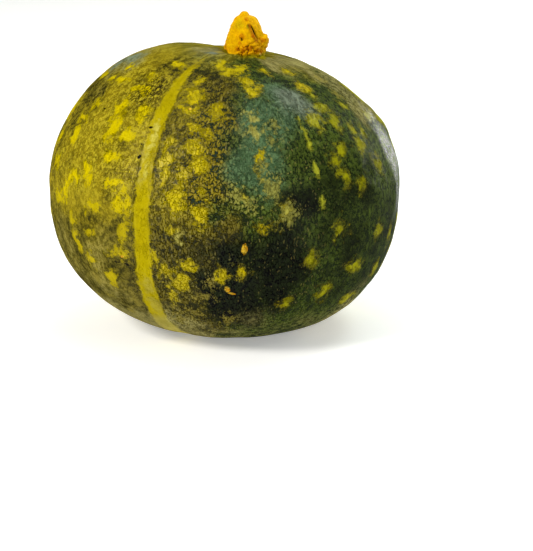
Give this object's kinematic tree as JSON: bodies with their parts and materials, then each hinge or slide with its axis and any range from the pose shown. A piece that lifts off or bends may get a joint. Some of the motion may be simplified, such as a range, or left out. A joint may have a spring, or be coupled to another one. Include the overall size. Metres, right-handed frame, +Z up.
{
  "type": "kabocha squash",
  "caption": "Whole kabocha squash, squat, lopsided and faintly ribbed, with a corky stem stub; rests on its flattened blossom end.",
  "frame": {"origin": "on the surface that the squash rests on, under the middle of its box", "axes": "+Z up through the stem end, -Y towards the side with the broad pale stripe, +X to its right, where the shoulder is lower"},
  "size_m": [0.1658, 0.1654, 0.1498],
  "materials": {
    "rind": "satin",
    "corky_stem": "matte"
  },
  "bodies": {
    "root": {"fruit": "rind", "stem": "corky_stem"}
  },
  "joints": []
}
